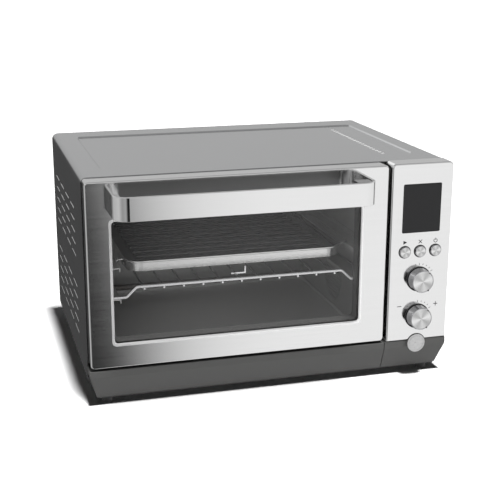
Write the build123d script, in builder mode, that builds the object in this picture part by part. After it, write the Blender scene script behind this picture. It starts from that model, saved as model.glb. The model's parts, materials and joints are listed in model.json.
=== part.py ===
from build123d import *
import os
from math import cos, radians, sin, sqrt

# Countertop toaster oven with a drop-down glass door and a control column at the right.
# Millimetres. +Z is up, the door faces -Y, and +X is to the right of someone facing the
# door. The origin is on the resting surface, under the centre of the whole object.

# ---------------------------------------------------------------- overall sizes
width = 480.0
body_depth = 350.0
body_height = 282.0
foot_height = 8.0
handle_reach = 46.0

# ---------------------------------------------------------------- sheet, wire and clearances
sheet = 0.8
frame_sheet = 1.0
slide_gap = 0.4
run_clearance = 0.06
button_clearance = 0.3
seat_clearance = 0.1

# ---------------------------------------------------------------- derived datum planes
front = handle_reach - (body_depth + handle_reach) / 2
back = front + body_depth
base = foot_height
top = base + body_height
half = width / 2

# ---------------------------------------------------------------- front layer: door and panel
edge_inset = 1.5
panel_width = 85.5
seam_gap = 4.5
layer_depth = 24.5
door_depth = 23.6
door_lift = 43.5
door_top_inset = 1.0
door_corner = 5.0
edge_round = 2.0
door_left = edge_inset - half
panel_left = half - panel_width
door_right = panel_left - seam_gap
door_low = base + door_lift
door_high = top - door_top_inset
seam = (door_right + panel_left) / 2

# ---------------------------------------------------------------- window
window_side_left = 27.5
window_side_right = 32.5
window_below = 28.0
window_above = 46.5
bezel_rim = 3.6
bezel_proud = 0.5
bezel_depth = 2.0
window_corner = 6.0
glass_thickness = 4.0
glass_overlap = 5.0
window = (
    door_left + window_side_left,
    door_right - window_side_right,
    door_low + window_below,
    door_high - window_above,
)

# ---------------------------------------------------------------- handle
handle_side_left = 28.5
handle_side_right = 32.0
handle_below_top = 10.5
handle_height = 29.5
handle_thick = 3.2
handle_corner = 18.0
boss_length = 9.0
handle_screw = 2.0
handle_x = (door_left + handle_side_left, door_right - handle_side_right)
handle_z = (door_high - handle_below_top - handle_height, door_high - handle_below_top)

# ---------------------------------------------------------------- hinge
hinge_y = front + 8.0
hinge_z = door_low + 6.5
hinge_pin = 2.5
arm_thick = 2.0
arm_half_height = 4.5
arm_tail = 10.0
cheek_thick = 3.0
cheek_gap = 0.5
arm_left = door_left + 9.5
arm_right = door_right - 5.0

# ---------------------------------------------------------------- outer cover
cover_lift = 21.0
bend_radius = 8.5
recess_left = 31.0
recess_right = 28.0
recess_front = 65.0
recess_back = 40.0
recess_depth = 1.5
recess_corner = 7.0
vent_radius = 1.5
vent_count = 20
vent_side = 66.0
vent_front = 81.0
vent_back = 74.0
slot_length = 42.0
slot_height = 2.2
slot_columns = 4
slot_rows = 5
slot_front = 101.0
slot_back = 36.0
slot_below_top = 55.0
slot_above_edge = 36.3
slot_group_step = 2.6
rear_lip = 10.0
rear_inset = 5.0

# ---------------------------------------------------------------- base
taper_height = 31.9
taper_side = 9.2
taper_front = 11.8
base_wall = 1.2
tray_front_height = 40.5
tray_front_depth = 22.0
tray_rim = 41.0
moulding_wall = 2.5
seam_clearance = 0.4
foot_radius = 7.5
foot_side = 23.0
foot_front = 24.0
foot_back = 30.0

# ---------------------------------------------------------------- oven cavity
cavity_side = 24.0
cavity_right_gap = 8.0
cavity_top_gap = 20.0
cavity_floor_lift = 34.0
cavity_back_gap = 31.2
frame_gap = 2.0
frame_setback = layer_depth + frame_gap
frame_lift = 43.0
rail_top_lift = 56.0
lip_width = 6.0
cavity_left = cavity_side - half
cavity_right = door_right - cavity_right_gap
cavity_front = front + frame_setback + frame_sheet
cavity_back = back - cavity_back_gap
cavity_low = base + cavity_floor_lift
cavity_high = top - cavity_top_gap

# ---------------------------------------------------------------- rack, pan and rails
rail_reach = 22.5
rail_sheet = 1.0
rack_wire = 2.0
cross_wire = 1.3
wire_weld = 0.6
rack_level = 124.5
rack_rise = 12.5
rack_front_gap = 2.5
rack_setback = frame_setback + frame_sheet + rack_front_gap
rack_depth_gap = 18.0
rack_wall_gap = 3.0
rack_bend_in = 26.0
rack_bend_run = 13.0
cross_wires = 11
cross_margin = 10.0
pan_level = 164.0
pan_depth = 14.0
pan_flange = 1.0
pan_overlap = 4.5
pan_side_gap = 33.0
pan_front_gap = 22.5
pan_setback = frame_setback + frame_sheet + pan_front_gap
pan_back_gap = 20.0
pan_corner = 22.0
rib_pitch = 22.4

# ---------------------------------------------------------------- heating elements and fan
element_radius = 4.5
element_hole = 4.8
upper_element_drop = 12.0
lower_element_lift = 50.0
insulator_radius = 7.0
insulator_length = 6.0
fan_y = front + 173.0
fan_z = base + 84.0
fan_radius = 50.0
fan_shaft_radius = 2.5
grille_radius = 36.0
grille_hole = 1.3
grille_pitch = 5.2
shroud_radius = 60.0
shroud_depth = 22.0
motor_radius = 22.0
motor_length = 26.0
motor_gap = 5.0
post_circle = 17.0
post_radius = 2.5

# ---------------------------------------------------------------- control column
display_width = 53.5
display_height = 65.1
display_recess = 0.6
column_shift = 0.25
button_hole = 8.5
button_pitch = 21.6
button_radius = 7.4
button_proud = 3.5
button_travel = 1.5
knob_radius = 16.0
knob_ring = 17.0
knob_depth = 15.0
knob_shaft = 3.0
badge_radius = 12.7
badge_lift = 36.3
badge_proud = 1.5
column_x = panel_left + panel_width / 2 + column_shift
badge_z = base + badge_lift
carrier_top_gap = bend_radius + 1.0
carrier_roof = 2.0
module_rim = 2.0
module_gap = 0.5
# The display's module clears the roof of the carrier by this much below the top.
column_head = carrier_top_gap + carrier_roof + module_rim + module_gap
# The free height that is left is shared out in these proportions.
column_shares = (13.2, 17.0, 12.7, 17.5, 8.5)
column_parts = display_height + 2 * button_hole + 4 * knob_ring
column_spare = top - column_head - (badge_z + badge_radius) - column_parts
column_gaps = [column_spare * share / sum(column_shares) for share in column_shares]
display_z = top - column_head - column_gaps[0] - display_height / 2
button_z = display_z - display_height / 2 - column_gaps[1] - button_hole
knob_upper_z = button_z - button_hole - column_gaps[2] - knob_ring
knob_lower_z = knob_upper_z - 2 * knob_ring - column_gaps[3]
board_y = front + 12.0
board_thick = 1.6

os.makedirs("parts", exist_ok=True)


# ---------------------------------------------------------------- helpers
def facing(y):
    """The X-Z drawing plane at depth y. A positive extrusion comes forward, towards -Y."""
    return Plane.XZ.offset(-y)


def block(x, y, z, mode=Mode.ADD):
    """Adds or cuts a box, from its limits along X, Y and Z."""
    with Locations(((x[0] + x[1]) / 2, (y[0] + y[1]) / 2, (z[0] + z[1]) / 2)):
        Box(x[1] - x[0], y[1] - y[0], z[1] - z[0], mode=mode)


def panel(left, right, low, high, radius, corners="all"):
    """A flat rectangle with all four corners rounded, or only the upper or the lower two."""
    with BuildSketch() as shape:
        with Locations(((left + right) / 2, (low + high) / 2)):
            Rectangle(right - left, high - low)
        rows = shape.vertices().group_by(Axis.Y)
        chosen = {"all": shape.vertices(), "upper": rows[-1], "lower": rows[0]}[corners]
        fillet(chosen, radius)
    return shape.sketch


def along_x(radius, x, y, z, mode=Mode.ADD):
    """Adds or cuts a round bar along X, from x[0] to x[1], on the line at y and z."""
    with Locations(Location(((x[0] + x[1]) / 2, y, z), (0, 90, 0))):
        Cylinder(radius, x[1] - x[0], mode=mode)


def along_y(radius, x, y, z, mode=Mode.ADD):
    """Adds or cuts a round bar along Y, from y[0] to y[1], on the line at x and z."""
    with Locations(Location((x, (y[0] + y[1]) / 2, z), (90, 0, 0))):
        Cylinder(radius, y[1] - y[0], mode=mode)


def save(piece, label):
    """Labels a finished piece and writes it as its own file."""
    piece.label = label
    export_step(piece, f"parts/{label}.step")


# ---------------------------------------------------------------- outer cover
cover_front = front + layer_depth
cover_low = base + cover_lift
recess = (recess_left - half, half - recess_right, front + recess_front, back - recess_back)
vent_x = half - vent_side
vent_step = (body_depth - vent_front - vent_back) / (vent_count - 1)
slot_step = (body_depth - slot_front - slot_back - slot_length) / (slot_columns - 1)
slot_span = top - slot_below_top - (cover_low + slot_above_edge)
slot_drop = slot_span / (2 * (slot_rows - 1) + slot_group_step)
slot_levels = [top - slot_below_top - i * slot_drop for i in range(slot_rows)]
slot_levels += [cover_low + slot_above_edge + i * slot_drop for i in range(slot_rows)]

with BuildPart() as outer_cover:
    with BuildSketch(facing(back)):
        add(panel(-half, half, cover_low, top, bend_radius, "upper"))
        add(
            panel(sheet - half, half - sheet, cover_low - 5, top - sheet, bend_radius - sheet, "upper"),
            mode=Mode.SUBTRACT,
        )
    extrude(amount=back - cover_front)
    # rear lip, turned inward for the back panel's screws
    with BuildSketch(facing(back - rear_inset - sheet)):
        add(panel(-half, half, cover_low, top, bend_radius, "upper"))
        add(
            panel(
                rear_lip - half, half - rear_lip, cover_low - 5, top - rear_lip, bend_radius, "upper"
            ),
            mode=Mode.SUBTRACT,
        )
    extrude(amount=sheet)
    # shallow pressed recess in the top: a lowered floor with sloping sides
    with BuildSketch(Plane.XY.offset(top - sheet - recess_depth)):
        add(
            panel(
                recess[0] - sheet,
                recess[1] + sheet,
                recess[2] - sheet,
                recess[3] + sheet,
                recess_corner,
            )
        )
    extrude(amount=recess_depth)
    with BuildSketch(Plane.XY.offset(top)):
        add(panel(*recess, recess_corner))
    extrude(amount=-recess_depth, taper=50, mode=Mode.SUBTRACT)
    with BuildSketch(Plane.XY.offset(top - recess_depth)):
        with Locations([(vent_x, front + vent_front + i * vent_step) for i in range(vent_count)]):
            Circle(vent_radius)
    extrude(amount=-2 * sheet, mode=Mode.SUBTRACT)
    # louvre slots, the same in both sides
    with BuildSketch(Plane.YZ.offset(half)):
        slot_first = front + slot_front + slot_length / 2
        with Locations(
            [
                (slot_first + column * slot_step, level)
                for column in range(slot_columns)
                for level in slot_levels
            ]
        ):
            SlotOverall(slot_length, slot_height)
    extrude(amount=-width, mode=Mode.SUBTRACT)
    # screw holes in the rear lip
    rear_screw_z = [cover_low + 30, (cover_low + top) / 2, top - 30]
    rear_screw_x = half - rear_lip / 2
    for x in (-rear_screw_x, rear_screw_x):
        for z in rear_screw_z:
            along_y(1.6, x, (back - rear_inset - 3, back - rear_inset), z, Mode.SUBTRACT)
save(outer_cover.part, "outer_cover")

# ---------------------------------------------------------------- back panel
rear_face = back - rear_inset
cord_x = half - 40
cord_z = base + 55
louvre_levels = [top - 45 - i * 12 for i in range(6)]

with BuildPart() as rear_panel:
    with BuildSketch(facing(rear_face)):
        add(
            panel(
                sheet - half + seat_clearance,
                half - sheet - seat_clearance,
                cover_low,
                top - sheet - seat_clearance,
                bend_radius - sheet,
                "upper",
            )
        )
    extrude(amount=sheet)
    with BuildSketch(facing(rear_face)):
        with Locations([(x, z) for x in (-150, -60, 30, 175) for z in louvre_levels]):
            SlotOverall(64, 3.2)
    extrude(amount=2 * sheet, mode=Mode.SUBTRACT)
    along_y(8.2, cord_x, (rear_face - 4, rear_face + 2), cord_z, Mode.SUBTRACT)
    for x in (-rear_screw_x, rear_screw_x):
        for z in rear_screw_z:
            along_y(1.6, x, (rear_face - 3, rear_face + 1), z, Mode.SUBTRACT)
save(rear_panel.part, "rear_panel")

with BuildPart() as rear_screws:
    for x in (-rear_screw_x, rear_screw_x):
        for z in rear_screw_z:
            along_y(1.5, x, (rear_face - 6, rear_face), z)
            along_y(3.2, x, (rear_face, rear_face + 1.8), z)
            along_y(1.0, x, (rear_face + 1.0, rear_face + 1.8), z, Mode.SUBTRACT)
save(rear_screws.part, "rear_screws")

with BuildPart() as cord_inlet:
    along_y(11.0, cord_x, (rear_face, back - 1.0), cord_z)
    along_y(8.1, cord_x, (rear_face - 8, rear_face), cord_z)
    along_y(10.0, cord_x, (rear_face - 8, rear_face - 5), cord_z)
    along_y(4.0, cord_x, (rear_face - 9, back), cord_z, Mode.SUBTRACT)
save(cord_inlet.part, "cord_inlet")

# ---------------------------------------------------------------- base pan and feet
base_front = front + layer_depth
base_back = rear_face - 2 * sheet
base_wide = half - sheet - seat_clearance
base_top = base + cavity_floor_lift - 1.0
apron_front = front + taper_front + 0.4


def tapered_tub(inset, floor, rim):
    """The base's tapered outline, moved inward by inset, from floor up to rim."""
    with BuildPart() as tub:
        narrow = half - taper_side - inset
        wide = base_wide - inset
        middle = (base_front + base_back) / 2
        deep = base_back - base_front - 2 * inset
        with BuildSketch(Plane.XY.offset(floor)):
            with Locations((0, middle)):
                Rectangle(2 * narrow, deep)
        with BuildSketch(Plane.XY.offset(base + cover_lift)):
            with Locations((0, middle)):
                Rectangle(2 * wide, deep)
        loft()
        block(
            (-wide, wide),
            (middle - deep / 2, middle + deep / 2),
            (base + cover_lift, rim),
        )
    return tub.part


with BuildPart() as base_pan:
    add(tapered_tub(0, base, base_top))
    add(tapered_tub(base_wall, base + base_wall, base_top + 5), mode=Mode.SUBTRACT)
    # the floor runs forward under the front mouldings and carries the front feet
    block(
        (taper_side - half + 1.0, half - taper_side - 1.0),
        (apron_front, base_front + base_wall),
        (base, base + base_wall),
    )
    with BuildSketch(Plane.XY.offset(base)):
        with Locations((0, (base_front + base_back) / 2)):
            with GridLocations(26, 60, 12, 3):
                SlotOverall(34, 3, rotation=90)
    extrude(amount=base_wall, mode=Mode.SUBTRACT)
save(base_pan.part, "base_pan")

foot_places = [
    (x, y)
    for x in (foot_side - half, half - foot_side)
    for y in (front + foot_front, back - foot_back)
]
with BuildPart() as feet:
    for x, y in foot_places:
        with BuildSketch(Plane.XY.offset(base)):
            with Locations((x, y)):
                Circle(foot_radius)
        extrude(amount=-foot_height, taper=6)
save(feet.part, "feet")

# ---------------------------------------------------------------- crumb tray
tray_low = cavity_low + sheet + slide_gap
tray_high = base + tray_rim
tray_left = cavity_left + sheet
tray_right = cavity_right - sheet
tray_back = cavity_back - 2.0
tray_front_back = front + tray_front_depth
tray_front_top = base + tray_front_height
skirt_low = base + base_wall + slide_gap


def skirt_outline(outer, inner):
    """Front view of a base moulding: its outer end slopes in, its inner end is the seam."""
    slope = taper_side if inner > outer else -taper_side
    with BuildSketch() as shape:
        with BuildLine():
            Polyline(
                (outer, tray_front_top),
                (outer, base + taper_height),
                (outer + slope, base),
                (inner, base),
                (inner, tray_front_top),
                close=True,
            )
        make_face()
    return shape.sketch


def skirt_section(inset):
    """Side view of a base moulding: upright above, sloping back below, moved in by inset."""
    low = skirt_low + inset
    slope = taper_front / taper_height
    with BuildSketch() as shape:
        with BuildLine():
            Polyline(
                (front + inset, tray_front_top - inset),
                (front + inset, base + taper_height),
                (front + inset + slope * (base + taper_height - low), low),
                (tray_front_back, low),
                (tray_front_back, tray_front_top - inset),
                close=True,
            )
        make_face()
    return shape.sketch


with BuildPart() as crumb_tray_front:
    with BuildSketch(facing(tray_front_back)):
        add(skirt_outline(-half, seam - seam_clearance))
    extrude(amount=tray_front_depth)
    with BuildSketch(Plane.YZ.offset(-half - 5)):
        add(skirt_section(0))
    extrude(amount=width + 10, mode=Mode.INTERSECT)
    with BuildSketch(Plane.YZ.offset(-half + taper_side + moulding_wall)):
        add(skirt_section(moulding_wall))
    extrude(
        amount=seam - seam_clearance + half - taper_side - 2 * moulding_wall, mode=Mode.SUBTRACT
    )
    fillet(crumb_tray_front.edges().filter_by(Axis.X).sort_by(Axis.Y)[:2], 1.0)
save(crumb_tray_front.part, "crumb_tray_front")

with BuildPart() as crumb_tray:
    block((tray_left, tray_right), (tray_front_back, tray_back), (tray_low, tray_high))
    block(
        (tray_left + sheet, tray_right - sheet),
        (tray_front_back + sheet, tray_back - sheet),
        (tray_low + sheet, tray_high + 1),
        Mode.SUBTRACT,
    )
    # front edge folded down behind the moulding, where the two are riveted
    block(
        (tray_left + 12, tray_right - 12),
        (tray_front_back, tray_front_back + sheet),
        (base + 30, tray_low),
    )
    # the front edge stays below the moulding's top
    block(
        (tray_left - 1, tray_right + 1),
        (tray_front_back - 1, tray_front_back + sheet),
        (tray_front_top, tray_high + 1),
        Mode.SUBTRACT,
    )
save(crumb_tray.part, "crumb_tray")

# ---------------------------------------------------------------- front frame
frame_y = (front + frame_setback, front + frame_setback + frame_sheet)
frame_right = panel_left + 2.0
with BuildPart() as front_frame:
    with BuildSketch(facing(frame_y[1])):
        add(
            panel(
                sheet - half + seat_clearance,
                frame_right,
                base + frame_lift,
                top - sheet - seat_clearance,
                0.5,
            )
        )
        with Locations(((cavity_left + cavity_right) / 2, (base + rail_top_lift + cavity_high) / 2)):
            Rectangle(
                cavity_right - cavity_left,
                cavity_high - base - rail_top_lift,
                mode=Mode.SUBTRACT,
            )
    extrude(amount=frame_sheet)
    # the cover's bend rounds the upper left corner
    with BuildSketch(facing(frame_y[1])):
        add(
            panel(
                sheet - half + seat_clearance,
                half,
                base,
                top - sheet - seat_clearance,
                bend_radius - sheet,
                "upper",
            )
        )
    extrude(amount=frame_sheet, mode=Mode.INTERSECT)
    # slots that the hinge arms pass through
    for x in (arm_left, arm_right):
        block(
            (x - arm_thick / 2 - seat_clearance, x + arm_thick / 2 + seat_clearance),
            (frame_y[0] - 1, frame_y[1] + 1),
            (hinge_z - arm_half_height - 0.1, hinge_z + arm_half_height + 0.1),
            Mode.SUBTRACT,
        )
save(front_frame.part, "front_frame")

# ---------------------------------------------------------------- oven cavity
upper_element_y = [cavity_front + 70, cavity_back - 75]
lower_element_y = [cavity_front + 22.5, cavity_back - 18]
upper_element_z = cavity_high - upper_element_drop
lower_element_z = base + lower_element_lift
element_lines = [(y, upper_element_z) for y in upper_element_y]
element_lines += [(y, lower_element_z) for y in lower_element_y]

with BuildPart() as cavity_left_wall:
    block((cavity_left - sheet, cavity_left), (cavity_front, cavity_back), (cavity_low, cavity_high))
    block(
        (cavity_left, cavity_left + lip_width),
        (cavity_front, cavity_back),
        (cavity_low, cavity_low + sheet),
    )
    for y, z in element_lines:
        along_x(element_hole, (cavity_left - 2, cavity_left + 2), y, z, Mode.SUBTRACT)
save(cavity_left_wall.part, "cavity_left_wall")


def grille_points(radius, pitch):
    """Centres of a hexagonal pattern of holes that fills a circle."""
    points = []
    rows = int(radius / (pitch * sqrt(3) / 2))
    for row in range(-rows, rows + 1):
        shift = pitch / 2 if row % 2 else 0
        for column in range(-rows - 1, rows + 2):
            point = (column * pitch + shift, row * pitch * sqrt(3) / 2)
            if point[0] ** 2 + point[1] ** 2 <= radius**2:
                points.append(point)
    return points


with BuildPart() as cavity_right_wall:
    block(
        (cavity_right, cavity_right + sheet), (cavity_front, cavity_back), (cavity_low, cavity_high)
    )
    block(
        (cavity_right - lip_width, cavity_right),
        (cavity_front, cavity_back),
        (cavity_low, cavity_low + sheet),
    )
    for y, z in element_lines:
        along_x(element_hole, (cavity_right - 2, cavity_right + 2), y, z, Mode.SUBTRACT)
    # perforated field in front of the convection fan
    with BuildSketch(Plane.YZ.offset(cavity_right)):
        with Locations([(fan_y + a, fan_z + b) for a, b in grille_points(grille_radius, grille_pitch)]):
            Circle(grille_hole)
    extrude(amount=sheet, mode=Mode.SUBTRACT)
save(cavity_right_wall.part, "cavity_right_wall")

with BuildPart() as cavity_ceiling:
    block(
        (cavity_left - sheet, cavity_right + sheet),
        (cavity_front, cavity_back),
        (cavity_high, cavity_high + sheet),
    )
    # turned-down stiffening ribs that run across the ceiling
    for y in (cavity_front + 40, (cavity_front + cavity_back) / 2, cavity_back - 40):
        block(
            (cavity_left + 30, cavity_right - 30),
            (y - 4, y + 4),
            (cavity_high + sheet, cavity_high + 3),
        )
save(cavity_ceiling.part, "cavity_ceiling")

probe_x = cavity_right - 42
probe_z = cavity_high - 37
with BuildPart() as cavity_back_wall:
    block(
        (cavity_left - sheet, cavity_right + sheet),
        (cavity_back, cavity_back + sheet),
        (cavity_low, cavity_high + sheet),
    )
    along_y(2.1, probe_x, (cavity_back - 2, cavity_back + 3), probe_z, Mode.SUBTRACT)
save(cavity_back_wall.part, "cavity_back_wall")

with BuildPart() as temperature_probe:
    along_y(2.0, probe_x, (cavity_back - 34, cavity_back + sheet), probe_z)
    along_y(5.0, probe_x, (cavity_back + sheet, cavity_back + 4), probe_z)
save(temperature_probe.part, "temperature_probe")

# ---------------------------------------------------------------- rack rails
rack_ledge = base + rack_level - rack_wire - slide_gap
pan_ledge = base + pan_level - pan_flange / 2 - slide_gap
rail_y = (cavity_front + 3, cavity_back - 6)


def rack_rail(wall, inward):
    """A pressed side rail with two ledges. inward is +1 or -1, away from its wall."""
    with BuildPart() as rail:
        inner = wall + inward * rail_sheet
        reach = wall + inward * rail_reach
        block(sorted((wall, inner)), rail_y, (rack_ledge - 6, pan_ledge + 6))
        for ledge in (rack_ledge, pan_ledge):
            block(sorted((wall, reach)), rail_y, (ledge - rail_sheet, ledge))
            # turned-down edge
            edge = reach - inward * rail_sheet
            block(sorted((edge, reach)), rail_y, (ledge - 5, ledge))
    return rail.part


save(rack_rail(cavity_left, 1), "rack_rail_left")
save(rack_rail(cavity_right, -1), "rack_rail_right")

# ---------------------------------------------------------------- heating elements
element_end = insulator_length + 8


def element_set(lines):
    """Straight sheathed heating rods that pass through both side walls."""
    with BuildPart() as rods:
        for y, z in lines:
            along_x(
                element_radius, (cavity_left - element_end, cavity_right + element_end), y, z
            )
            for x in (cavity_left - element_end - 6, cavity_right + element_end):
                along_x(1.5, (x, x + 6), y, z)
    return rods.part


save(element_set(element_lines[:2]), "upper_elements")
save(element_set(element_lines[2:]), "lower_elements")

with BuildPart() as element_insulators:
    for y, z in element_lines:
        for x in (cavity_left - sheet - insulator_length, cavity_right + sheet):
            along_x(insulator_radius, (x, x + insulator_length), y, z)
            along_x(element_radius, (x - 1, x + insulator_length + 1), y, z, Mode.SUBTRACT)
save(element_insulators.part, "element_insulators")

# ---------------------------------------------------------------- convection fan
shroud_x = cavity_right + sheet
shroud_end = shroud_x + shroud_depth
with BuildPart() as fan_shroud:
    along_x(shroud_radius, (shroud_x, shroud_end), fan_y, fan_z)
    along_x(shroud_radius - sheet, (shroud_x, shroud_end - sheet), fan_y, fan_z, Mode.SUBTRACT)
    along_x(5.0, (shroud_end - 3, shroud_end + 1), fan_y, fan_z, Mode.SUBTRACT)
    # the front of the base leaves no room below the cavity floor
    block(
        (shroud_x - 1, shroud_end + 1),
        (fan_y - shroud_radius, fan_y + shroud_radius),
        (fan_z - shroud_radius - 1, base_top + 1),
        Mode.SUBTRACT,
    )
save(fan_shroud.part, "fan_shroud")

motor_x = shroud_end + motor_gap
with BuildPart() as fan_motor:
    along_x(motor_radius, (motor_x, motor_x + motor_length), fan_y, fan_z)
    along_x(12.0, (motor_x + motor_length, motor_x + motor_length + 4), fan_y, fan_z)
    along_x(fan_shaft_radius + run_clearance, (motor_x - 1, motor_x + 16), fan_y, fan_z, Mode.SUBTRACT)
    # three posts that hold the motor off the shroud
    for angle in (90, 210, 330):
        y = fan_y + post_circle * cos(radians(angle))
        z = fan_z + post_circle * sin(radians(angle))
        along_x(post_radius, (shroud_end, motor_x + 1), y, z)
save(fan_motor.part, "fan_motor")

blade_x = shroud_x + 6
with BuildPart() as fan_shaft:
    along_x(fan_shaft_radius, (blade_x - 3, motor_x + 14), fan_y, fan_z)
save(fan_shaft.part, "fan_shaft")

with BuildPart() as fan_blade:
    along_x(8.0, (blade_x, blade_x + 10), fan_y, fan_z)
    along_x(30.0, (blade_x + 9, blade_x + 10), fan_y, fan_z)
    with Locations(Location((blade_x + 5, fan_y, fan_z), (0, 90, 0))):
        with PolarLocations(fan_radius / 2 + 2, 8):
            Box(fan_radius - 5, 1.0, 10, rotation=(22, 0, 0))
    along_x(fan_shaft_radius, (blade_x - 4, blade_x + 12), fan_y, fan_z, Mode.SUBTRACT)
save(fan_blade.part, "fan_blade")

# ---------------------------------------------------------------- wire rack
rack_y = (front + rack_setback, cavity_back - rack_depth_gap)
rack_x = (cavity_left + rack_wall_gap, cavity_right - rack_wall_gap)
rack_z = base + rack_level
rack_top = rack_z + rack_rise
cross_z = rack_top - rack_wire - cross_wire + wire_weld
cross_low = rack_x[0] + rack_bend_in + rack_bend_run + cross_margin
cross_high = rack_x[1] - rack_bend_in - rack_bend_run - cross_margin
cross_step = (cross_high - cross_low) / (cross_wires - 1)


def raised_wire(y):
    """A wire across the rack, flat in the middle and stepped down to the rails at its ends."""
    with BuildPart() as wire:
        with BuildLine() as path:
            FilletPolyline(
                (rack_x[0], y, rack_z),
                (rack_x[0] + rack_bend_in, y, rack_z),
                (rack_x[0] + rack_bend_in + rack_bend_run, y, rack_top),
                (rack_x[1] - rack_bend_in - rack_bend_run, y, rack_top),
                (rack_x[1] - rack_bend_in, y, rack_z),
                (rack_x[1], y, rack_z),
                radius=5,
            )
        with BuildSketch(Plane(origin=path.line @ 0, z_dir=path.line % 0)):
            Circle(rack_wire)
        sweep()
    return wire.part


with BuildPart() as wire_rack:
    for y in (*rack_y, (rack_y[0] + rack_y[1]) / 2):
        add(raised_wire(y))
    for x in rack_x:
        along_y(rack_wire, x, rack_y, rack_z)
        for y in rack_y:
            with Locations((x, y, rack_z)):
                Sphere(rack_wire)
    for i in range(cross_wires):
        x = cross_low + i * cross_step
        along_y(cross_wire, x, (rack_y[0] - 1.5, rack_y[1] + 1.5), cross_z)
    # small wire stop that keeps a pan from sliding forward
    stop_x = cross_low + (cross_wires // 2) * cross_step
    with Locations((stop_x + 4, rack_y[0] + 30, cross_z + cross_wire)):
        Box(20, 2, 2)
    with Locations((stop_x + 13, rack_y[0] + 30, cross_z + cross_wire + 4)):
        Box(2, 2, 10)
save(wire_rack.part, "wire_rack")

# ---------------------------------------------------------------- bake pan and broil insert
pan_x = (cavity_left + pan_side_gap, cavity_right - pan_side_gap)
pan_y = (front + pan_setback, cavity_back - pan_back_gap)
pan_top = base + pan_level + pan_flange / 2
flange_x = (
    cavity_left + rail_reach - pan_overlap,
    cavity_right - rail_reach + pan_overlap,
)

with BuildPart() as bake_pan:
    with BuildSketch(Plane.XY.offset(pan_top)):
        add(panel(*pan_x, *pan_y, pan_corner))
    extrude(amount=-pan_depth, taper=8)
    # rim all round and a wider flange at each side, which rides on the upper ledges
    with BuildSketch(Plane.XY.offset(pan_top - pan_flange)):
        add(panel(pan_x[0] - 2, pan_x[1] + 2, pan_y[0] - 2, pan_y[1] + 2, pan_corner))
        add(panel(*flange_x, pan_y[0] + 16, pan_y[1] - 16, 12))
    extrude(amount=pan_flange)
    with BuildSketch(Plane.XY.offset(pan_top)):
        add(panel(pan_x[0] + 1, pan_x[1] - 1, pan_y[0] + 1, pan_y[1] - 1, pan_corner - 1))
    extrude(amount=1 - pan_depth, taper=8, mode=Mode.SUBTRACT)
save(bake_pan.part, "bake_pan")

insert_z = pan_top - 7
insert_x = (pan_x[0] + 4, pan_x[1] - 4)
insert_y = (pan_y[0] + 4, pan_y[1] - 4)
rib_count = int((insert_y[1] - insert_y[0] - 16) / rib_pitch) + 1
rib_first = (insert_y[0] + insert_y[1] - (rib_count - 1) * rib_pitch) / 2
drain_count = int((insert_x[1] - insert_x[0] - 40) / 80)

with BuildPart() as broil_insert:
    with BuildSketch(Plane.XY.offset(insert_z)):
        add(panel(*insert_x, *insert_y, pan_corner - 6))
    extrude(amount=1.2)
    for i in range(rib_count):
        y = rib_first + i * rib_pitch
        block(
            (insert_x[0] + 14, insert_x[1] - 14), (y - 3.5, y + 3.5), (insert_z + 1.2, insert_z + 5)
        )
    fillet(
        broil_insert.edges().filter_by(Axis.X).group_by(Axis.Z)[-1],
        2.2,
    )
    for i in range(rib_count):
        y = rib_first + i * rib_pitch
        block(
            (insert_x[0] + 16, insert_x[1] - 16), (y - 2.3, y + 2.3), (insert_z, insert_z + 3.8),
            Mode.SUBTRACT,
        )
    with BuildSketch(Plane.XY.offset(insert_z)):
        with Locations(
            [
                ((insert_x[0] + insert_x[1]) / 2 + (j - (drain_count - 1) / 2) * 80,
                 rib_first + (i + 0.5) * rib_pitch)
                for j in range(drain_count)
                for i in range(rib_count - 1)
            ]
        ):
            SlotOverall(56, 3)
    extrude(amount=1.2, mode=Mode.SUBTRACT)
    # stub legs that stand on the pan's floor
    for x in (insert_x[0] + 30, insert_x[1] - 30):
        for y in (insert_y[0] + 30, insert_y[1] - 30):
            with Locations((x, y, (insert_z + pan_top - pan_depth + 1) / 2)):
                Cylinder(4, insert_z - (pan_top - pan_depth + 1))
save(broil_insert.part, "broil_insert")

# ---------------------------------------------------------------- door
glass_z = (window[2] - glass_overlap, window[3] + glass_overlap)
glass_x = (window[0] - glass_overlap, window[1] + glass_overlap)
glass_y = (front + bezel_depth, front + bezel_depth + glass_thickness)
handle_mid = sum(handle_z) / 2
screw_places = (handle_x[0] + 8, handle_x[1] - 8)
notch_half = arm_thick / 2 + cheek_gap
inner_left = door_left + sheet
inner_right = door_right - sheet

with BuildPart() as door_outer_panel:
    with BuildSketch(facing(front + door_depth)):
        add(panel(door_left, door_right, door_low, door_high, door_corner))
    extrude(amount=door_depth)
    fillet(door_outer_panel.faces().sort_by(Axis.Y)[0].edges(), edge_round)
    with BuildSketch(facing(front + door_depth)):
        add(
            panel(
                inner_left, inner_right, door_low + sheet, door_high - sheet, door_corner - sheet
            )
        )
    extrude(amount=door_depth - sheet, mode=Mode.SUBTRACT)
    with BuildSketch(facing(front + sheet)):
        add(panel(*window, window_corner))
    extrude(amount=2 * sheet, both=True, mode=Mode.SUBTRACT)
    # notches in the lower edge that let the hinge arms swing
    for x in (arm_left, arm_right):
        block(
            (x - notch_half, x + notch_half),
            (hinge_y - arm_half_height - 0.6, front + door_depth + 1),
            (door_low - 1, door_low + sheet + 1),
            Mode.SUBTRACT,
        )
    for x in screw_places:
        along_y(handle_screw, x, (front - 1, front + 2), handle_mid, Mode.SUBTRACT)
save(door_outer_panel.part, "door_outer_panel")

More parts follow.
